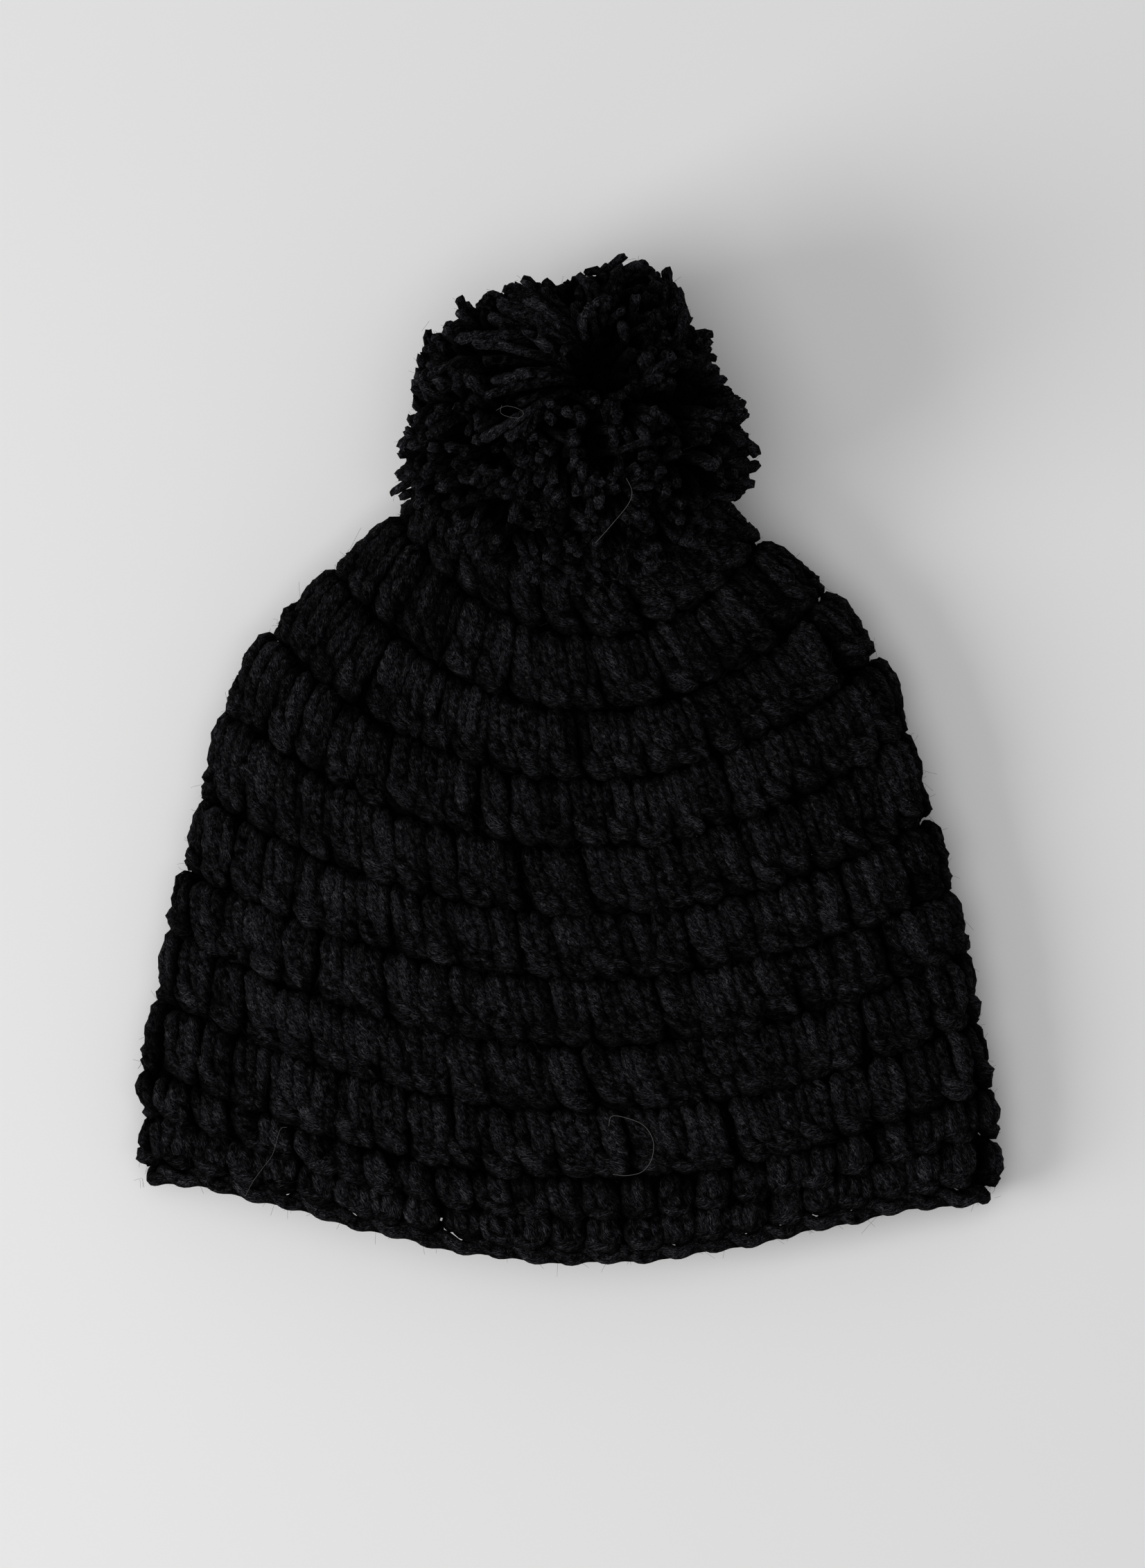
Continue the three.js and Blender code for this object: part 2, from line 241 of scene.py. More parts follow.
def addNode(tree, kind, links=None, **settings):
    # one node: settings are its properties, and links are its sockets by name or number,
    # each with a value or with the output of another node
    node = tree.nodes.new(kind)
    for name, value in settings.items():
        setattr(node, name, value)
    for socket, value in (links or {}).items():
        if isinstance(value, bpy.types.NodeSocket):
            tree.links.new(value, node.inputs[socket])
        else:
            node.inputs[socket].default_value = value
    return node


# Materials

def newMaterial(name, surface):
    # surface: what goes into the sockets of its one shader
    material = bpy.data.materials.new(name)
    material.use_nodes = True
    tree = material.node_tree
    tree.nodes.clear()
    shader = addNode(tree, "ShaderNodeBsdfPrincipled", surface)
    addNode(tree, "ShaderNodeOutputMaterial", {"Surface": shader.outputs["BSDF"]})
    return material, tree, shader


woollenYarn = {
    "deep": 0x010101,           # the yarn's black between the fibres, and where painted shade is full
    "paintedGlint": 0x4B4B50,            # painted highlight of a fibre that catches the light
    "curl": (1.8, 1.3),         # size of the curls in the fibres and how far they stray
    "fibres": {                 # length and width of the pattern, turn from the strand, sharpness, share
        "along": (1.5, 0.34, 0.25, 4.0, 1.0),
        "across": (1.1, 0.34, -0.45, 5.0, 0.85),
        "loose": (0.7, 0.42, 0.9, 6.0, 0.75)},
    "contrast": 7.0,            # power that narrows the painted fibre highlights to the middle of a fibre
    "patch": (2.0, 2.0, -0.77), # size of the lighter and darker patches, how much they differ, their level
    "tone": 0.5,                # how much one strand differs from the next
    "depth": 2.8,               # power of the painted shade that darkens the colour into the gaps
    "fibreRelief": 0.25, "patchRelief": 0.9,
}
# the pompom's cut yarn: brighter painted fibre highlights, darker patches and more tone between strands
cutYarn = {**woollenYarn, "paintedGlint": 0x4E4E54, "patch": (2.0, 2.0, -0.9), "tone": 0.7}


def makeYarn(name, settings):
    # Black brushed acrylic and wool yarn, spun loosely: matt and nearly black, with fine curly fibres drawn as bright
    # lines on a darker body, their brightness a painted highlight in the base colour, and painted shade that darkens
    # the colour into the gaps; a faint cool bloom where it turns away from the eye
    material, tree, shader = newMaterial(name, {
        "Roughness": 0.75, "IOR": 1.53, "Specular IOR Level": 0.006,
        "Sheen Weight": 0.004, "Sheen Roughness": 0.3, "Sheen Tint": linear(0xE6E9F2)})
    uv = addNode(tree, "ShaderNodeUVMap", uv_map="strand").outputs["UV"]
    curl = addNode(tree, "ShaderNodeTexNoise", {
        "Vector": uv, "Scale": 1 / settings["curl"][0], "Detail": 2.0}).outputs["Color"]
    centred = addNode(tree, "ShaderNodeVectorMath", {0: curl, 1: (0.5,) * 3}, operation="SUBTRACT").outputs[0]
    curled = addNode(tree, "ShaderNodeVectorMath", {
        0: centred, 1: (settings["curl"][1],) * 3, 2: uv}, operation="MULTIPLY_ADD").outputs[0]

    # a fibre shows where the noise is near one half: share * (1 - sharpness * |noise - 0.5|)
    strongest = None
    for length, width, turn, sharpness, share in settings["fibres"].values():
        space = addNode(tree, "ShaderNodeMapping", {
            "Vector": curled, "Rotation": (0, 0, turn), "Scale": (length, width, 1)}, vector_type="TEXTURE")
        noise = addNode(tree, "ShaderNodeTexNoise", {"Vector": space.outputs[0], "Scale": 1.0, "Detail": 1.0})
        off = addNode(tree, "ShaderNodeMath", {0: noise.outputs["Fac"], 1: 0.5}, operation="SUBTRACT")
        away = addNode(tree, "ShaderNodeMath", {0: off.outputs[0]}, operation="ABSOLUTE")
        fibre = addNode(tree, "ShaderNodeMath", {
            0: away.outputs[0], 1: -sharpness * share, 2: share}, operation="MULTIPLY_ADD", use_clamp=True)
        if strongest is None:
            strongest = fibre
        else:
            strongest = addNode(tree, "ShaderNodeMath", {
                0: strongest.outputs[0], 1: fibre.outputs[0]}, operation="MAXIMUM")
    size, difference, level = settings["patch"]
    patch = addNode(tree, "ShaderNodeTexNoise", {"Vector": uv, "Scale": 1 / size, "Detail": 2.0})
    patched = addNode(tree, "ShaderNodeMath", {
        0: patch.outputs["Fac"], 1: difference, 2: level}, operation="MULTIPLY_ADD")
    tone = addNode(tree, "ShaderNodeAttribute", attribute_name="tone").outputs["Fac"]
    toned = addNode(tree, "ShaderNodeMath", {
        0: tone, 1: settings["tone"], 2: patched.outputs[0]}, operation="MULTIPLY_ADD", use_clamp=True)
    # painted highlight: the fibre lines follow the fibres' relief, but their brightness, narrowed by the contrast
    # power and times the strand's tone and patches, is painted into the colour
    sharp = addNode(tree, "ShaderNodeMath", {
        0: strongest.outputs[0], 1: settings["contrast"]}, operation="POWER")
    paintedGlint = addNode(tree, "ShaderNodeMath", {0: sharp.outputs[0], 1: toned.outputs[0]}, operation="MULTIPLY")
    # painted shade: lift ^ depth darkens the colour towards the gaps and grooves, where shade falls
    lift = addNode(tree, "ShaderNodeAttribute", attribute_name="lift").outputs["Fac"]
    paintedShadeFactor = addNode(tree, "ShaderNodeMath", {0: lift, 1: settings["depth"]}, operation="POWER")
    shade = addNode(tree, "ShaderNodeMath", {
        0: paintedGlint.outputs[0], 1: paintedShadeFactor.outputs[0]}, operation="MULTIPLY", use_clamp=True)
    colour = addNode(tree, "ShaderNodeMix", {
        0: shade.outputs[0], 6: linear(settings["deep"]), 7: linear(settings["paintedGlint"])}, data_type="RGBA")
    patchBump = addNode(tree, "ShaderNodeBump", {
        "Strength": 1.0, "Distance": settings["patchRelief"] * mm, "Height": patch.outputs["Fac"]})
    fibreBump = addNode(tree, "ShaderNodeBump", {
        "Strength": 1.0, "Distance": settings["fibreRelief"] * mm, "Height": strongest.outputs[0],
        "Normal": patchBump.outputs["Normal"]})
    tree.links.new(colour.outputs[2], shader.inputs["Base Color"])
    tree.links.new(fibreBump.outputs["Normal"], shader.inputs["Normal"])
    return material


# darkest and lightest base colour of the loose fibres: their grey is painted sheen
paintedFibreSheen = {"dark": 0x060607, "light": 0x202023}


def makeLooseFibre():
    # Single fibres brushed out of the yarn: they stand in the light, and their grey against the black body is painted
    # sheen in the base colour, more or less by each fibre's random tone
    material, tree, shader = newMaterial("loose acrylic fibres", {
        "Roughness": 0.6, "IOR": 1.53, "Specular IOR Level": 0.02})
    tone = addNode(tree, "ShaderNodeAttribute", attribute_name="tone").outputs["Fac"]
    colour = addNode(tree, "ShaderNodeMix", {
        0: tone, 6: linear(paintedFibreSheen["dark"]), 7: linear(paintedFibreSheen["light"])}, data_type="RGBA")
    tree.links.new(colour.outputs[2], shader.inputs["Base Color"])
    return material


def makePaintedFloor():
    # White painted board, matt, as under a product photograph
    return newMaterial("matt white board", {
        "Base Color": linear(0xE2E2E2), "Roughness": 0.9, "Specular IOR Level": 0.1})[0]


# The crocheted wall, worked out as in the CAD: sizes are from the middle of its thickness

wall = {
    "groove": 2.2,              # the middle of the wall lies this far inside the table's half widths
    "slant": 3,                 # the left side of a round lies this much further up, the right side down
    "sideLevel": 0.45,          # level of the folded sides between back and front
    "frontSquareness": 2.5,     # power of the rounded front of a section, where 2 is an ellipse
    "backSquareness": 4.5,
}

# Grooves between rounds, from the starting ring at the tip to the mouth. half: half the width;
# midX: how far the middle is off centre; sideY, frontY, backY: places along the hat;
# under, over: heights of the back and front walls; stitches: in the round that starts there;
# sag: power of the bend across the front and the back
grooveNames = ("half", "midX", "sideY", "frontY", "backY", "under", "over", "stitches", "sag")
grooveRows = np.array([
    (8.7, 1.0, 88, 87, 87, 15, 28, 9, 1.0),
    (23, 1.0, 84, 71, 71, 9, 33, 18, 0.8),
    (38, 1.8, 74, 52, 53, 5.5, 35, 27, 0.8),
    (51.5, 3.6, 61.6, 33, 34, 4, 35.5, 36, 0.85),
    (69.3, 3.2, 46.9, 12.5, 14, 3.4, 35, 42, 0.85),
    (84.8, 1.4, 29.5, -6.8, -5, 3.4, 34.5, 46, 0.9),
    (94.6, -0.1, 8.4, -25.5, -23, 3.4, 34, 48, 0.9),
    (101, 0.1, -16, -44.2, -41, 3.4, 33, 48, 0.95),
    (106.2, 0.0, -36.3, -62, -58, 3.4, 32, 48, 1.0),
    (110.4, 0.1, -53.3, -81, -76, 3.4, 31, 48, 1.0),
    (113.8, 0.1, -73.2, -99.3, -94, 3.4, 30, 48, 1.1),
    (117.8, -0.5, -91, -117.6, -111.5, 3.4, 29, 48, 1.15),
    (117.3, 0.7, -104, -128.6, -120.5, 3.4, 28, 48, 1.4),
    (118.3, 0.2, -117, -136.6, -127.5, 3.4, 27, 48, 1.9),
    (117.7, 0.2, -123, -142, -132.5, 3.4, 26.5, 48, 1.9),
])
groove = dict(zip(grooveNames, grooveRows.T))
stitchCount = groove["stitches"].astype(int)
lastGroove = len(grooveRows) - 1
crownEnd = 11               # groove where the tall rounds end and the short ones begin
bandEnd = 13                # groove where the edge begins


def signedPower(values, power):
    # |value| ^ power with the value's own sign
    return np.sign(values) * np.abs(values) ** power


def wallSection(place, angle):
    # Point on the middle of the wall. A section is a rounded rectangle: across = cos^(2/n), rise = sin^(2/n),
    # n its squareness, and its front and back sag down the hat by (1 - across^2)^sag
    front = np.sin(angle) >= 0
    squareness = np.where(front, wall["frontSquareness"], wall["backSquareness"])
    across = signedPower(np.cos(angle), 2 / squareness)
    rise = np.abs(np.sin(angle)) ** (2 / squareness)
    read = {name: readCurve(values, place) for name, values in groove.items()}
    side = read["under"] + (read["over"] - read["under"]) * wall["sideLevel"]
    middleY = np.where(front, read["frontY"], read["backY"])
    sagged = np.maximum(0, 1 - across ** 2) ** read["sag"]
    return np.stack([
        read["midX"] + (read["half"] - wall["groove"]) * across,
        read["sideY"] - wall["slant"] * across + (middleY - read["sideY"]) * sagged,
        side + (np.where(front, read["over"], read["under"]) - side) * rise], axis=-1)


wallGrid = {
    "step": 0.05,               # share of a round from one row to the next
    "turns": 512,               # columns in a turn
    "angles": 721,              # points that measure the length of a section
}


def makeWallGrid():
    # the middle of the wall and its outward direction, a row for each place and a column for each
    # share of a turn, even by length round the section; outward = down the wall x along the round
    place = np.arange(0, lastGroove + wallGrid["step"] / 2, wallGrid["step"])
    share = np.linspace(0, 1, wallGrid["angles"])
    section = wallSection(place[:, None], np.pi * (1 - 2 * share)[None, :])
    steps = np.linalg.norm(np.diff(section, axis=1), axis=2)
    length = np.concatenate([np.zeros((len(place), 1)), np.cumsum(steps, axis=1)], axis=1)
    turn = np.arange(wallGrid["turns"]) / wallGrid["turns"]
    middle = np.stack([
        np.stack([np.interp(turn * run[-1], run, ring[:, axis]) for axis in range(3)], axis=-1)
        for run, ring in zip(length, section)])
    downwards = np.gradient(middle, axis=0)
    along = np.roll(middle, -1, axis=1) - np.roll(middle, 1, axis=1)
    return middle, unit(np.cross(downwards, along)), length[:, -1]


wallMiddle, wallOutward, wallLength = makeWallGrid()


def readGrid(table, place, turn):
    # the table between its rows and columns: shares of the four nearest values
    row = np.clip(place, 0, lastGroove) / wallGrid["step"]
    i = np.minimum(row.astype(int), len(table) - 2)
    column = (turn % 1) * wallGrid["turns"]
    j = column.astype(int) % wallGrid["turns"]
    k = (j + 1) % wallGrid["turns"]
    a = (row - i)[..., None]
    b = (column - np.floor(column))[..., None]
    thisColumn = table[i, j] * (1 - a) + table[i + 1, j] * a
    nextColumn = table[i, k] * (1 - a) + table[i + 1, k] * a
    return thisColumn * (1 - b) + nextColumn * b


def onWall(place, turn, out):
    # point at a distance out from the middle of the wall, and the outward direction there
    outward = unit(readGrid(wallOutward, place, turn))
    return readGrid(wallMiddle, place, turn) + out[..., None] * outward, outward


# One stitch is a few fat strands. across: shares of a stitch from its middle; down: shares of the round;
# out and radius: millimetres. Each list is the strand's points from its upper end to its lower end.

tallStitch = {
    "leftLeg": {
        "across": (-0.28, -0.32, -0.33, -0.28, -0.20), "down": (0.02, 0.07, 0.26, 0.46, 0.62),
        "out": (1.5, 3.2, 3.6, 3.2, 2.2), "radius": (1.6, 2.05, 2.15, 2.05, 1.7)},
    "middleLeg": {
        "across": (-0.07, -0.04, 0.00, 0.06, 0.12), "down": (0.01, 0.06, 0.30, 0.52, 0.68),
        "out": (1.5, 3.5, 4.0, 3.5, 2.3), "radius": (1.6, 1.95, 2.05, 2.0, 1.7)},
    "rightLeg": {
        "across": (0.20, 0.25, 0.32, 0.34, 0.34), "down": (0.02, 0.08, 0.32, 0.58, 0.76),
        "out": (1.5, 3.2, 3.6, 3.1, 2.0), "radius": (1.6, 2.05, 2.15, 2.05, 1.7)},
    "upperWrap": {
        "across": (-0.37, -0.30, -0.15, 0.05, 0.20), "down": (0.48, 0.58, 0.69, 0.78, 0.84),
        "out": (1.8, 3.1, 3.6, 3.3, 1.9), "radius": (1.6, 2.0, 2.15, 2.05, 1.7)},
    "lowerWrap": {
        "across": (-0.41, -0.33, -0.14, 0.11, 0.32), "down": (0.66, 0.76, 0.84, 0.88, 0.88),
        "out": (1.5, 2.5, 3.0, 2.7, 1.6), "radius": (1.5, 1.95, 2.05, 2.0, 1.6)},
    "rightWrap": {
        "across": (0.02, 0.11, 0.25, 0.35, 0.42), "down": (0.60, 0.67, 0.76, 0.84, 0.88),
        "out": (1.8, 3.0, 3.3, 2.7, 1.3), "radius": (1.5, 1.95, 2.05, 1.95, 1.5)},
}
shortStitch = {
    "leftLeg": {
        "across": (-0.29, -0.31, -0.30, -0.25), "down": (0.04, 0.18, 0.48, 0.72),
        "out": (1.2, 2.9, 3.4, 2.2), "radius": (1.5, 2.0, 2.15, 1.7)},
    "middleLeg": {
        "across": (-0.05, -0.03, 0.01, 0.04), "down": (0.02, 0.16, 0.48, 0.74),
        "out": (1.2, 3.2, 3.9, 2.3), "radius": (1.5, 2.05, 2.2, 1.7)},
    "rightLeg": {
        "across": (0.23, 0.28, 0.31, 0.31), "down": (0.04, 0.19, 0.52, 0.78),
        "out": (1.2, 2.9, 3.4, 2.0), "radius": (1.5, 2.0, 2.15, 1.6)},
    "wrap": {
        "across": (-0.40, -0.28, -0.02, 0.24, 0.38), "down": (0.62, 0.72, 0.82, 0.86, 0.84),
        "out": (1.4, 2.7, 3.4, 2.9, 1.4), "radius": (1.5, 1.95, 2.1, 2.0, 1.5)},
}
innerStitch = {
    "leftLeg": {
        "across": (-0.24, -0.2, -0.12), "down": (0.0, 0.36, 0.72),
        "out": (-0.8, -2.3, -0.9), "radius": (1.3, 1.7, 1.3)},
    "rightLeg": {
        "across": (0.22, 0.26, 0.3), "down": (0.0, 0.36, 0.72),
        "out": (-0.8, -2.3, -0.9), "radius": (1.3, 1.7, 1.3)},
    "bar": {
        "across": (-0.5, -0.1, 0.46), "down": (0.72, 0.8, 0.92),
        "out": (-0.8, -2.5, -0.8), "radius": (1.3, 1.8, 1.3)},
}

# How many stitches a stitch leans to the right, at the sides of the hat and in its middle
tallLean = (0.1, 0.38)
shortLean = (-0.05, 0.0)

crochet = {
    "usualStitch": 8.8,         # width of a stitch whose strands have the radii above
    "thickness": (0.7, 1.1),    # least and most share of those radii, for narrow and wide stitches
    "drift": (0.045, 0.018),    # how far a stitch strays, in stitches and rounds
    "strandDrift": (0.04, 0.015),
    "leanDrift": 0.10,
    "puffDrift": 0.06,          # how much further out one stitch stands than another
    "outDrift": 0.4,            # the same for a strand, in millimetres
    "radiusDrift": 0.07,
    "sway": (0.03, 0.25, 0.08), # how far a strand sways: in stitches, in millimetres out, and of its radius
    "swayWaves": (0.5, 1.5),    # how often it does so from end to end
    "lobes": 0.09,              # how far the plies stand out of a strand, as a share of its radius
    "twist": 0.22,              # turn of the plies, in radians a millimetre
    "lower": 0.35,              # every strand lies this much lower than its table says
    "dark": 0.9,                # painted shade is full this deep, from the middle of the wall
    "light": 4.4,               # painted shade ends this much higher up
    "rings": 8, "sides": 8,
    "innerRings": 5, "innerSides": 6,
    "seed": 11,
}


def stitchTubes(firstRound, endRound, stitch, leans, rings, sides, seed):
    # every strand of every stitch of these rounds, its table carried to the wall by
    # place = round + down, turn = (number + across + sway + lean * down) / stitches in the round
    rng = np.random.default_rng(seed)
    counts = stitchCount[firstRound:endRound]
    rounds = np.repeat(np.arange(firstRound, endRound), counts)
    number = np.concatenate([np.arange(count) for count in counts])
    total = stitchCount[rounds]
    middleRow = ((rounds + 0.5) / wallGrid["step"]).astype(int)
    width = wallLength[middleRow] / total
    size = np.clip(width / crochet["usualStitch"], *crochet["thickness"])[:, None]
    stray = rng.normal(0, 1, (5, len(rounds), 1))
    share = np.linspace(0, 1, rings)
    shapes = []
    for strand in stitch.values():
        table = curveThrough(np.array([strand[k] for k in ("across", "down", "out", "radius")]).T, rings)
        own = rng.normal(0, 1, (4, len(rounds), 1))
        across = table[:, 0] + crochet["drift"][0] * stray[0] + crochet["strandDrift"][0] * own[0]
        down = table[:, 1] + crochet["drift"][1] * stray[1] + crochet["strandDrift"][1] * own[1]
        fromSide = np.sin(2 * np.pi * number / total)[:, None] ** 2
        lean = leans[0] + (leans[1] - leans[0]) * fromSide + crochet["leanDrift"] * stray[2]
        waves = rng.uniform(*crochet["swayWaves"], own.shape)
        sway = np.sin(2 * np.pi * (waves * share + rng.uniform(0, 1, own.shape)))
        face = np.sign(table[:, 2].sum())
        out = table[:, 2] * (1 + crochet["puffDrift"] * stray[3]) + face * (
            crochet["outDrift"] * own[2] - crochet["lower"] + crochet["sway"][1] * sway[1])
        radius = table[:, 3] * size * (1 + crochet["radiusDrift"] * own[3] + crochet["sway"][2] * sway[2])
        turn = (number[:, None] + across + crochet["sway"][0] * sway[0] + lean * down) / total[:, None]
        path, outward = onWall(rounds[:, None] + down, turn, out)
        # height and full set the painted shade: a strand's colour darkens the deeper it lies in the wall
        shapes.append(tubes(path, face * outward, radius, sides, rng, crochet["lobes"], crochet["twist"],
                            height=face * out - crochet["dark"], full=crochet["light"]))
    return shapes


core = {"outer": -0.3, "inner": -1.5, "rowStep": 0.5, "columns": 144, "end": 12.8}


def coreSheet():
    # the yarn deep in the wall, behind the grooves: one closed sheet round both faces, coloured in painted full shade
    rows = np.arange(0, core["end"], core["rowStep"])
    place = np.concatenate([rows, rows[::-1]])[:, None]
    out = np.repeat([core["outer"], core["inner"]], len(rows))[:, None]
    turn = (np.arange(core["columns"]) / core["columns"])[None, :]
    place, turn, out = np.broadcast_arrays(place, turn, out)
    return closedSheet(onWall(place, turn, out)[0])


# The edge of the mouth: two strands twisted together, one swelling for each stitch

edgeCord = {
    "place": 13.38, "radius": 1.75,
    "helix": 1.15,              # how far a strand winds from the middle of the cord
    "sides": 9, "ringsPerStitch": 8,
    "scallop": 0.7,             # how far the edge dips between two turns
    "swell": 0.14,              # how much thicker a strand is where it lies on top
    "sway": 0.35,               # height of the slow waves of the edge
    "swayWaves": 17, "swayStart": 1,
    "roundHeight": 7.0,         # turns millimetres into a share of a round
    "dark": -1.2,               # painted shade is full this deep and ends at light, as for the stitches, from the middle of the cord
    "light": 3.4,
}


def edgeTubes(seed):
    # two helices round the mouth, one turn for two stitches: out = helix cos(phase), and the place
    # moves down by helix sin(phase) + scallop cos(2 phase) + the slow waves
    rng = np.random.default_rng(seed)
    stitches = stitchCount[bandEnd]
    count = stitches * edgeCord["ringsPerStitch"]
    turn = np.arange(count + 1) / count
    wave = np.sin(2 * np.pi * turn * edgeCord["swayWaves"] + edgeCord["swayStart"])
    shapes = []
    for strand in range(2):
        phase = 2 * np.pi * turn * stitches / 2 + np.pi * strand
        dip = edgeCord["scallop"] * np.cos(2 * phase) + edgeCord["sway"] * wave
        place = edgeCord["place"] + (edgeCord["helix"] * np.sin(phase) + dip) / edgeCord["roundHeight"]
        out = edgeCord["helix"] * np.cos(phase)
        path, outward = onWall(place, turn, out)
        radius = edgeCord["radius"] * (1 + edgeCord["swell"] * np.cos(phase))[None]
        # painted shade: the cord's colour darkens towards the wall
        shapes.append(tubes(path[None], outward[None], radius, edgeCord["sides"], rng,
                            height=(out - edgeCord["dark"])[None], full=edgeCord["light"]))
    return shapes


# Loose fibres: a closed spindle each, three-sided and pointed at both ends

fuzz = {
    "crown": 9000, "band": 2000, "pompom": 4000,
    "radius": 0.034,
    "length": (1.0, 3.4), "pompomLength": (1.0, 3.2),
    "bow": (2.2, 1.6),          # how far a fibre curls away, and back
    "places": (1.5, 13.6),      # rounds that have fibres
    "crowding": 0.75,           # below 1, more fibres lie in the lower rounds
    "start": (2.4, 5.0),        # how far out of the middle of the wall a fibre starts
    "surface": 4.0,             # distance at which the directions along the wall are read
    "rise": 0.15,               # how steeply a fibre may leave the surface
    "bend": 0.9, "bendOut": 0.3, "pompomBend": 0.4,
    "spread": 0.5,              # how far the fibres of a cut end splay
    "upStrand": 6,              # how far behind a cut end a fibre may start
    "seed": 23,
}
spindleShares = np.array([0, 0.2, 0.55, 0.85, 1])   # where the rings and the tips of a fibre are


def fibreSpindles(root, direction, bend, length, rng):
    # path = root + length (share * direction + (away share^2 - back share^3) * bend)
    share = spindleShares[None, :, None]
    away, back = fuzz["bow"]
    curl = away * share ** 2 - back * share ** 3
    path = root[:, None] + length[:, None, None] * (share * direction[:, None] + curl * bend[:, None])
    radius = np.full((len(root), 3), fuzz["radius"])
    up = unit(np.cross(direction, bend) + 1e-6)[:, None]
    return tubes(path[:, 1:4], up, radius, 3, rng, ends=(path[:, 0], path[:, 4]))


def wallFuzz(count, firstPlace, endPlace, seed):
    # fibres all over the outside, lying any way along the surface and lifting a little
    rng = np.random.default_rng(seed)
    place = firstPlace + (endPlace - firstPlace) * rng.uniform(0, 1, count) ** fuzz["crowding"]
    turn = rng.uniform(0, 1, count)
    root, outward = onWall(place, turn, rng.uniform(*fuzz["start"], count))
    surface = np.full(count, fuzz["surface"])
    nearby = 0.02
    lower, _ = onWall(place + nearby, turn, surface)
    upper, _ = onWall(place - nearby, turn, surface)
    down = unit(lower - upper)
    across = np.cross(outward, down)
    angle = rng.uniform(-np.pi, np.pi, count)[:, None]
    rise = fuzz["rise"] * outward * rng.uniform(0, 1, (count, 1))
    direction = unit(np.cos(angle) * down + np.sin(angle) * across + rise)
    bend = rng.normal(0, fuzz["bend"], (count, 3))
    bend = bend + outward * rng.uniform(-fuzz["bendOut"], fuzz["bendOut"], (count, 1))
    length = rng.uniform(*fuzz["length"], count)
    return fibreSpindles(root, direction, bend, length, rng)


# What has settled on the yarn: a white hair, a few pale threads and specks, by their X and Y

lint = {
    "hair": {
        "x": (11.4, 12.6, 19.2, 22.4, 23.9, 23.3, 20.8, 16.7, 12.6), "radius": 0.055,
        "y": (-102.5, -99.6, -101.2, -103.7, -107.4, -111.9, -115.2, -116.3, -116.0)},
    "brimThread": {
        "x": (-78.4, -80.4, -82.4, -85.3, -88.3, -90.1), "radius": 0.03,
        "y": (-103.0, -103.8, -110.4, -114.5, -118.7, -122.3)},
    "pompomThread": {
        "x": (7.5, 12.6, 16.6, 17.5, 16.0), "radius": 0.045,
        "y": (58.8, 64.5, 69.5, 72.9, 76.3)},
    "pompomLoop": {
        "x": (-19.5, -17.0, -14.5, -12.4, -12.2, -13.6, -16.3, -18.3, -18.0), "radius": 0.03,
        "y": (94.9, 96.0, 95.6, 94.6, 93.4, 92.7, 93.1, 94.2, 96.3)},
    "rings": 40, "sides": 5,
    "smoothing": 7,             # over how many rings the heights are evened out
    "lift": 6.1,                # height over the middle of the wall
    "pompomLift": 0.4,
    "specks": 70,
    "speckLength": (0.3, 0.9),
    "speckPlaces": (4, 11),     # rounds that have specks
    "speckStart": (4.9, 5.7),   # how far out of the middle of the wall they start
    "speckDip": 0.5,            # how much they point down into the yarn
    "speckBend": 0.5,
    "seed": 31,
}


def makeLint():
    # Foreign fibres, pale and a little shiny, that stand out white on the black yarn
    return newMaterial("pale lint fibre", {
        "Base Color": linear(0x5C5C5A), "Roughness": 0.5, "IOR": 1.53, "Specular IOR Level": 0.3})[0]


def lintTubes(thread, height, rng):
    # a thin tube through the thread's points, laid on the surface by the height function of x and y
    flat = curveThrough(np.array([thread["x"], thread["y"]]).T, lint["rings"])
    window = lint["smoothing"]
    padded = np.pad(height(flat), window // 2, mode="edge")
    z = np.convolve(padded, np.full(window, 1 / window), mode="valid")
    path = np.concatenate([flat, z[:, None]], axis=1)[None]
    return tubes(path, upward, np.full(path.shape[:2], thread["radius"]), lint["sides"], rng)


def overWall(flat):
    # height of the front of the hat over each x, y: the nearest point of the wall's middle, plus the lift
    front = wallMiddle[:, :wallGrid["turns"] // 2].reshape(-1, 3)
    nearest = np.argmin(((front[:, None, :2] - flat[None]) ** 2).sum(axis=-1), axis=0)
    return front[nearest, 2] + lint["lift"]


def overPompom(flat):
    # height of the ball over each x, y: z = middle + half height * sqrt(1 - (x/a)^2 - (y/b)^2)
    a, b, c = pompom["reach"]
    away = (flat - np.array(pompom["middle"][:2])) / (a, b)
    return pompom["middle"][2] + c * np.sqrt(np.maximum(0, 1 - (away ** 2).sum(axis=-1))) + lint["pompomLift"]


def specks(seed):
    # short thick fibres strewn over the crown
    rng = np.random.default_rng(seed)
    count = lint["specks"]
    place = rng.uniform(*lint["speckPlaces"], count)
    turn = rng.uniform(0, 1, count)
    root, outward = onWall(place, turn, rng.uniform(*lint["speckStart"], count))
    direction = unit(rng.normal(0, 1, (count, 3)) - lint["speckDip"] * outward)
    bend = rng.normal(0, lint["speckBend"], (count, 3))
    return fibreSpindles(root, direction, bend, rng.uniform(*lint["speckLength"], count), rng)


# The pompom: strands of the same yarn cut blunt, packed round the tie

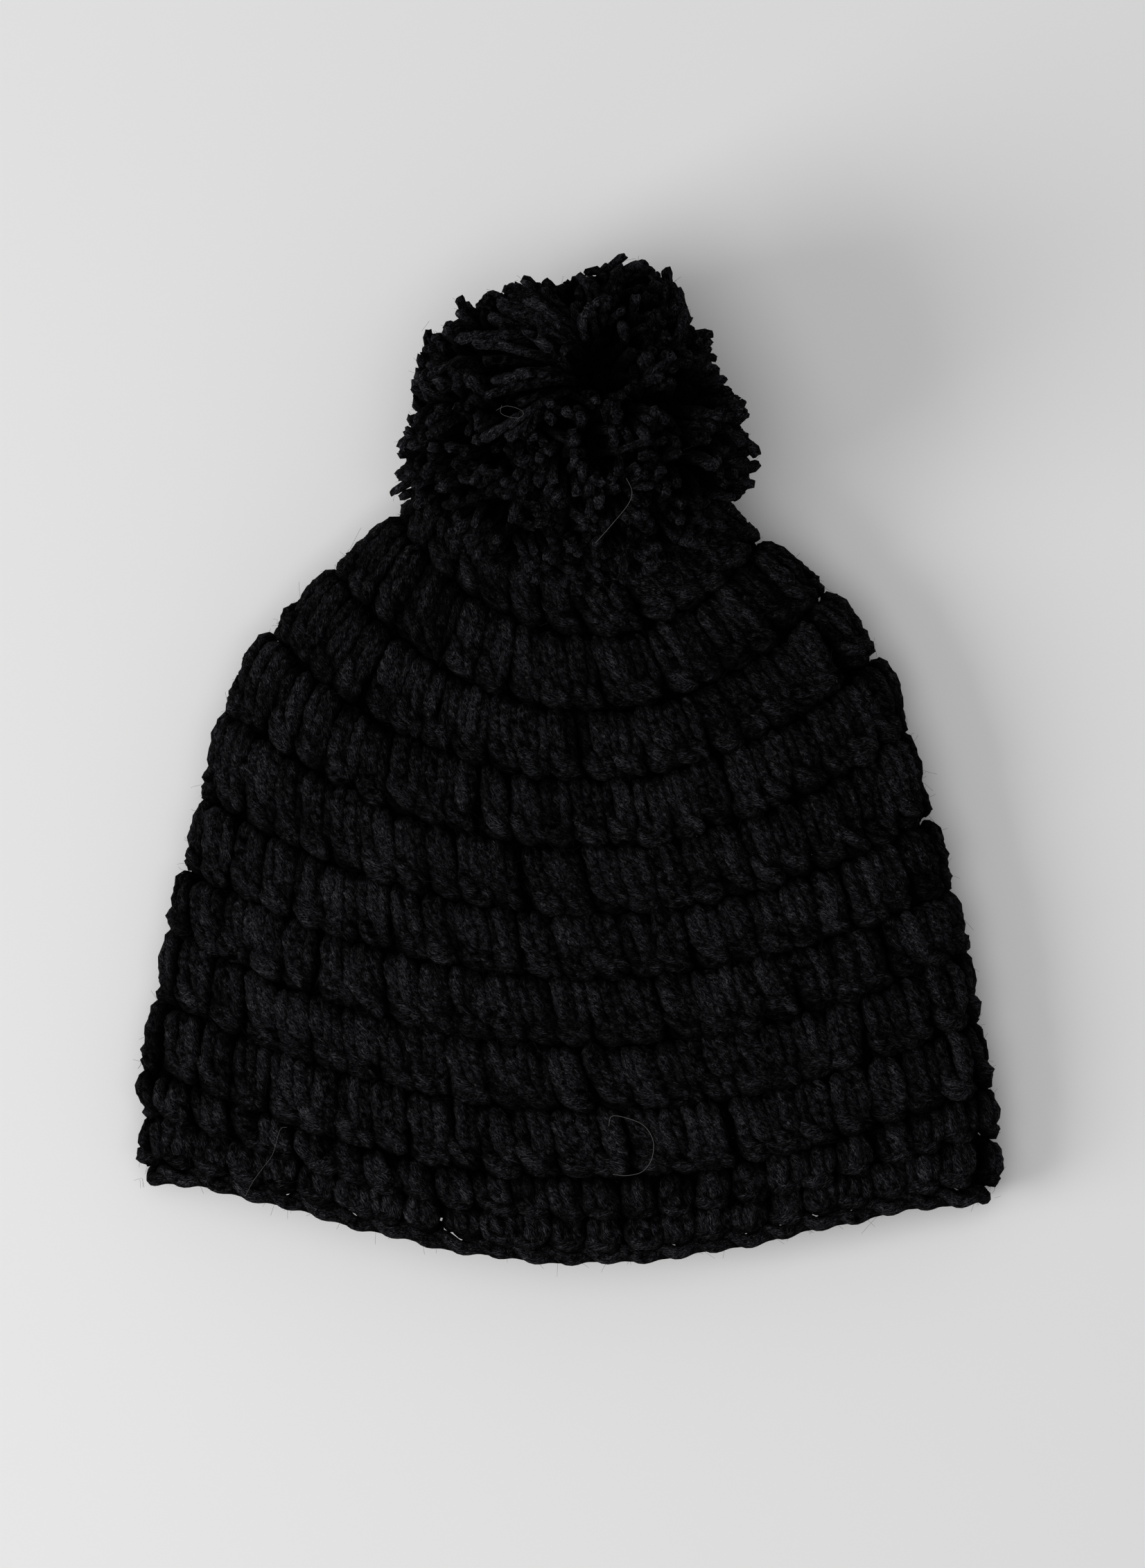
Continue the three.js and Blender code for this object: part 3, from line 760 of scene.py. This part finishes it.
pompom = {
    "middle": (2.5, 91.5, 44),
    "reach": (47, 47, 42.5),
    "strands": 2050, "sides": 8,
    "radius": 1.4, "radiusDrift": 0.12,
    "dome": 0.15,               # how far a cut end bulges, in radii
    "root": 0.45,               # where a strand starts, as a share of its reach
    "lobes": 0.13, "twist": 0.16,               # depth and turn of the four plies
    "fray": 0.45,               # how ragged the cut ends are, in millimetres
    "bend": 0.22,
    "stray": 0.07,              # how far a strand's direction is from an even spread
    "clumps": 300,
    "clumping": 0.35,           # how far a strand's end moves to the middle of its clump at most
    "gathered": (0.2, 1),       # least and greatest share of that
    "clumpDrift": (-3.0, 0.8),  # how far the ends of a whole clump stand back or out
    "hollows": (0.16, -9),      # share of the clumps that stand far back, and how far
    "endDrift": (-2.6, 1.6),    # shortest and longest strands against the reach
    "longEnds": (0.05, 1.4),    # share of the strands that stick out, and how far
    "dark": 12,                 # painted shade is full this far in from the ends
    "seed": 5,
}

# Along a strand: places of its rings, the last two at its cut end, and its thickness there
pompomShares = np.array([0, 0.3, 0.6, 0.82, 0.965, 1])
pompomProfile = np.array([0.8, 0.95, 1.0, 1.02, 1.05, 0.72])

# How far the ends reach in the plane of the picture, by direction in degrees from +X against the clock
pompomOutline = {
    "direction": (-180, -170, -160, -145, -120, -90, -60, -30, -12, 0, 10, 20, 30, 40, 50,
                  61, 70, 80, 90, 100, 110, 120, 132, 150, 170, 180),
    "reach": (48, 50.5, 52, 49, 45, 44, 45, 49.5, 51.5, 47, 45.5, 42.5, 43.5, 44, 46,
              50, 50, 47, 41, 41.5, 44, 44, 46, 47, 47, 48),
}

# Where the strands part on top, and long ones fan out over the surface. Angles are in degrees
eye = {
    "axis": (9.3, 17.6, 40.0),  # towards the eye from the middle of the pompom
    "pit": (10, 16),            # how wide it is, and how much shorter the strands are in it
    "fan": 50,
    "fanDirections": (80, 215),
    "fanRoots": (6, 24),
    "fanEnds": (22, 64),
    "fanLevels": (0.70, 0.90, 0.965, 1.0),      # share of the reach along a strand of the fan
    "fanStray": 0.07,
    "fanDrift": (-1.5, 1.2),
    "underFan": (14, 5.5),      # how far within the fan's ends strands are shorter, and by how much
}


def pompomReach(direction):
    # the ball, 1 / |direction / half sizes|, changed near its waist by the outline, but not past the floor
    x, y, z = np.moveaxis(direction, -1, 0)
    ball = 1 / np.linalg.norm(direction / np.array(pompom["reach"]), axis=-1)
    outline = np.interp(np.degrees(np.arctan2(y, x)), pompomOutline["direction"], pompomOutline["reach"])
    reach = ball * (1 + (outline / pompom["reach"][0] - 1) * (1 - z ** 2))
    floor = np.where(z < 0, pompom["middle"][2] / np.maximum(-z, 1e-3), 1e3)
    return np.minimum(reach, floor)


def spherePoints(count):
    # even directions: heights in equal steps, each turned on by the golden angle
    i = np.arange(count)
    height = 1 - (2 * i + 1) / count
    turn = i * np.pi * (3 - np.sqrt(5))
    across = np.sqrt(1 - height ** 2)
    return np.stack([across * np.cos(turn), across * np.sin(turn), height], axis=-1)


crownRoof = {
    "cell": 2.0,                # side of a square cell of the floor
    "low": (-60, 20),           # the corner of the first cell
    "cells": (62, 50),
    "end": 6,                   # the rounds down to this groove are mapped
    "rows": 301, "columns": 1200,
    "out": 5.0,                 # how far the outside is from the middle of the wall
}
noCrown = {"top": -1.0, "bottom": 1e3}


def roofCell(points):
    # which cell each point is over, and whether it is one of the map's
    cell = ((points[..., :2] - crownRoof["low"]) / crownRoof["cell"]).astype(int)
    return cell, ((cell >= 0) & (cell < crownRoof["cells"])).all(axis=-1)


def makeCrownRoof():
    # highest and lowest point of the crown over each cell of the floor, from many points of its outside
    rows = np.linspace(0, crownRoof["end"], crownRoof["rows"])
    columns = np.linspace(0, 1, crownRoof["columns"])
    place, turn = np.meshgrid(rows, columns, indexing="ij")
    points, _ = onWall(place, turn, np.full(place.shape, crownRoof["out"]))
    points = points.reshape(-1, 3)
    cell, inside = roofCell(points)
    at = tuple(cell[inside].T)
    roof = np.full(crownRoof["cells"], noCrown["top"])
    ground = np.full(crownRoof["cells"], noCrown["bottom"])
    np.maximum.at(roof, at, points[inside, 2])
    np.minimum.at(ground, at, points[inside, 2])
    return roof, ground


def pompomStrands():
    # path = middle + (direction + 2 share (share - 1) bend) * (root + (1 - root) share) * reach,
    # where the reach is the ball's with drifts of its own
    rng = np.random.default_rng(pompom["seed"])
    middle = np.array(pompom["middle"])
    eyeAxis = unit(np.array(eye["axis"]))
    direction = unit(spherePoints(pompom["strands"]) + rng.normal(0, pompom["stray"], (pompom["strands"], 3)))

    # ends gather in clumps, so that dark gaps open between them
    clump = unit(rng.normal(0, 1, (pompom["clumps"], 3)))
    chosen = np.argmax(direction @ clump.T, axis=1)
    nearest = clump[chosen]
    gathering = pompom["clumping"] * rng.uniform(*pompom["gathered"], (len(direction), 1))
    direction = unit(direction + gathering * (nearest - direction))
    clumpEnd = rng.uniform(*pompom["clumpDrift"], pompom["clumps"])
    clumpEnd += pompom["hollows"][1] * (rng.uniform(0, 1, pompom["clumps"]) < pompom["hollows"][0])
    reach = pompomReach(direction) + rng.uniform(*pompom["endDrift"], len(direction)) + clumpEnd[chosen]
    reach += pompom["longEnds"][1] * (rng.uniform(0, 1, len(direction)) < pompom["longEnds"][0])

    # short and sparse in the eye, and lower under the fan
    fromEye = np.degrees(np.arccos(np.clip(direction @ eyeAxis, -1, 1)))
    flat = direction - (direction @ eyeAxis)[:, None] * eyeAxis
    sector = np.degrees(np.arctan2(flat[:, 1], flat[:, 0])) % 360
    low, high = eye["fanDirections"]
    within, shorter = eye["underFan"]
    pitWidth, pitDepth = eye["pit"]
    underFan = (sector > low) & (sector < high) & (fromEye < eye["fanEnds"][1] - within)
    reach = reach - np.where(underFan, shorter, 0) - pitDepth * np.exp(-(fromEye / pitWidth) ** 2)
    share = pompomShares[None, :, None]
    bend = rng.normal(0, pompom["bend"], (len(direction), 1, 3))
    along = pompom["root"] + (1 - pompom["root"]) * share
    way = unit(direction[:, None] + bend * (share - 1) * share * 2)
    path = middle + way * along * reach[:, None, None]

    # the fan: strands that leave the eye and lie over the surface
    count = eye["fan"]
    sectorAngle = np.radians(rng.uniform(low, high, count))
    endAngle = np.radians(rng.uniform(*eye["fanEnds"], count))
    eastward = unit(np.cross([0, 1, 0], eyeAxis))
    northward = np.cross(eyeAxis, eastward)
    heading = np.cos(sectorAngle)[:, None] * eastward + np.sin(sectorAngle)[:, None] * northward
    start = np.radians(rng.uniform(*eye["fanRoots"], (count, 1)))
    tilt = start + (endAngle[:, None] - start) * pompomShares[None]
    fanWay = np.cos(tilt)[..., None] * eyeAxis + np.sin(tilt)[..., None] * heading[:, None]
    growing = (1.3 * pompomShares - 0.3)[:, None] ** 2      # the fan strays towards its ends
    fanWay = unit(fanWay + rng.normal(0, eye["fanStray"], (count, 1, 3)) * growing)
    levels = np.array(eye["fanLevels"])
    level = readCurve(levels, (len(levels) - 1) * pompomShares)
    fanReach = pompomReach(fanWay) * level + rng.uniform(*eye["fanDrift"], (count, 1))
    fanPath = middle + fanWay * fanReach[..., None]

    return np.concatenate([path, fanPath]), rng


def drapeOnCrown(path):
    # points over the crown rest on it; strands that end under or inside it are left out
    roof, ground = makeCrownRoof()
    cell, inside = roofCell(path)
    at = tuple(np.moveaxis(np.clip(cell, 0, np.array(crownRoof["cells"]) - 1), -1, 0))
    top = np.where(inside, roof[at], noCrown["top"])
    bottom = np.where(inside, ground[at], noCrown["bottom"])
    over = top > 0
    aboveMiddle = 4                             # an end has to be this far over the crown's middle height
    kept = ~(over[:, -1] & (path[:, -1, 2] < (top[:, -1] + bottom[:, -1]) / 2 + aboveMiddle))
    lowest = top + pompom["radius"] * 0.8       # a strand sinks a fifth of its radius into the crown
    path[..., 2] = np.where(over & (path[..., 2] < lowest), lowest, path[..., 2])
    return path, kept


def pompomTubes():
    # the strands as tubes; painted shade darkens their colour from the ball's surface inwards
    path, rng = pompomStrands()
    path, kept = drapeOnCrown(path)
    path = path[kept]
    radius = pompom["radius"] * pompomProfile * (1 + pompom["radiusDrift"] * rng.normal(0, 1, (len(path), 1)))
    up = unit(rng.normal(0, 1, (len(path), 1, 3)))
    fromMiddle = path - np.array(pompom["middle"])
    depth = np.linalg.norm(fromMiddle, axis=-1) - pompomReach(unit(fromMiddle))
    strands = tubes(path, up, radius, pompom["sides"], rng, pompom["lobes"], pompom["twist"], pompom["dome"],
                    height=pompom["dark"] + depth, full=pompom["dark"], fray=pompom["fray"])
    return strands, path, rng


def pompomFuzz(path, rng):
    # fibres splayed out of the cut ends
    count = fuzz["pompom"]
    chosen = rng.integers(0, len(path), count)
    end, before = path[chosen, -1], path[chosen, -2]
    outward = unit(end - before)
    direction = unit(outward + rng.normal(0, fuzz["spread"], (count, 3)))
    beside = rng.normal(0, fuzz["spread"], (count, 3)) * pompom["radius"]
    root = end + beside - outward * rng.uniform(0, fuzz["upStrand"], (count, 1))
    bend = rng.normal(0, fuzz["pompomBend"], (count, 3))
    return fibreSpindles(root, direction, bend, rng.uniform(*fuzz["pompomLength"], count), rng)


# The tie: two strands twisted along Y, with a knot inside the crown

tie = {
    "x": 1, "z": 21.5,
    "from": 74, "to": 97,       # its ends along Y
    "radius": 1.1,
    "helix": 1.0,               # how far a strand winds from the middle of the cord
    "pitch": 9,
    "knot": 4.2,                # half the knot's thickness
    "knotLength": 6,
    "rings": 60, "sides": 8,
    "seed": 9,
}


def tieTubes():
    # two helices along Y, which swell at the knot by a bell curve, exp(-(distance / width)^2)
    rng = np.random.default_rng(tie["seed"])
    y = np.linspace(tie["from"] + 1, tie["to"] - 1, tie["rings"])
    fromKnot = y - tie["from"] - tie["knotLength"] / 2
    knot = np.exp(-(fromKnot / (tie["knotLength"] / 3)) ** 2)
    winding = tie["helix"] + (tie["knot"] - tie["helix"] - tie["radius"]) * knot
    shapes = []
    for strand in range(2):
        phase = 2 * np.pi * y / tie["pitch"] + np.pi * strand
        x = tie["x"] + winding * np.cos(phase)
        z = tie["z"] + winding * np.sin(phase)
        path = np.stack([x, y, z], axis=-1)[None]
        shapes.append(tubes(path, upward, np.full((1, len(y)), tie["radius"]), tie["sides"], rng))
    return shapes


# Floor and light

floorSide = 6000
studio = {                      # window and ceiling are square sheets of light that face the hat
    "window": {"place": (-1500, -480, 1080), "size": 950, "watts": 22.0},
    "ceiling": {"place": (-250, -150, 3200), "size": 2600, "watts": 43.0},
    "sky": 0.29,
}


def makeFloor():
    half = floorSide / 2 * mm
    corners = [(-half, -half, 0), (half, -half, 0), (half, half, 0), (-half, half, 0)]
    mesh = bpy.data.meshes.new("floor")
    mesh.from_pydata(corners, [], [(0, 1, 2, 3)])
    mesh.materials.append(makePaintedFloor())
    floor = bpy.data.objects.new("floor", mesh)
    bpy.context.scene.collection.objects.link(floor)


def makeLights():
    for name in ("window", "ceiling"):
        settings = studio[name]
        data = bpy.data.lights.new(name, "AREA")
        data.shape = "SQUARE"
        data.size = settings["size"] * mm
        data.energy = settings["watts"]
        light = bpy.data.objects.new(name, data)
        place = Vector(settings["place"]) * mm
        light.location = place
        light.rotation_euler = (-place).to_track_quat("-Z", "Y").to_euler()
        bpy.context.scene.collection.objects.link(light)
    world = bpy.data.worlds.new("sky")
    bpy.context.scene.world = world
    world.use_nodes = True
    background = world.node_tree.nodes["Background"]
    background.inputs["Color"].default_value = linear(0xFFFFFF)
    background.inputs["Strength"].default_value = studio["sky"]


makeCamera()
makeFloor()
makeLights()
bpy.context.scene.view_settings.view_transform = "Standard"
print("camera, floor and light made")

yarn = makeYarn("brushed acrylic wool yarn", woollenYarn)
pompomYarn = makeYarn("cut acrylic wool yarn", cutYarn)
fibres = makeLooseFibre()

seed, rings, sides = crochet["seed"], crochet["rings"], crochet["sides"]
for first, end, level in ((0, 6, "upper"), (6, 9, "middle"), (9, crownEnd, "lower")):
    shapes = stitchTubes(first, end, tallStitch, tallLean, rings, sides, seed + first)
    makePiece("crown_" + level + "_stitches", shapes, yarn, ["crown"])
inside = stitchTubes(
    0, bandEnd, innerStitch, tallLean, crochet["innerRings"], crochet["innerSides"], seed + 20)
makePiece("crown_inside", inside + [coreSheet()], yarn, ["crown", "brim_band"])
band = stitchTubes(crownEnd, bandEnd, shortStitch, shortLean, rings, sides, seed + 30)
makePiece("brim_band_stitches", band, yarn, ["brim_band"])
makePiece("brim_edge_cord", edgeTubes(seed + 40), yarn, ["brim_edge"])
crownFuzz = wallFuzz(fuzz["crown"], fuzz["places"][0], crownEnd, fuzz["seed"])
makePiece("crown_fuzz", [crownFuzz], fibres, ["crown"])
brimFuzz = wallFuzz(fuzz["band"], crownEnd, fuzz["places"][1], fuzz["seed"] + 1)
makePiece("brim_fuzz", [brimFuzz], fibres, ["brim_band"])
print("crochet made")

strands, strandPaths, pompomRng = pompomTubes()
makePiece("pompom_strands", [strands], pompomYarn, ["pompom"])
makePiece("pompom_fuzz", [pompomFuzz(strandPaths, pompomRng)], fibres, ["pompom"])
makePiece("pompom_tie_cord", tieTubes(), pompomYarn, ["pompom_tie"])
print("pompom made")

lintFibre = makeLint()
lintRng = np.random.default_rng(lint["seed"])
crownLint = [lintTubes(lint[name], overWall, lintRng) for name in ("hair", "brimThread")]
makePiece("crown_lint", crownLint + [specks(lint["seed"] + 1)], lintFibre, ["crown"])
pompomLint = [lintTubes(lint[name], overPompom, lintRng) for name in ("pompomThread", "pompomLoop")]
makePiece("pompom_lint", pompomLint, lintFibre, ["pompom"])
print("lint made")
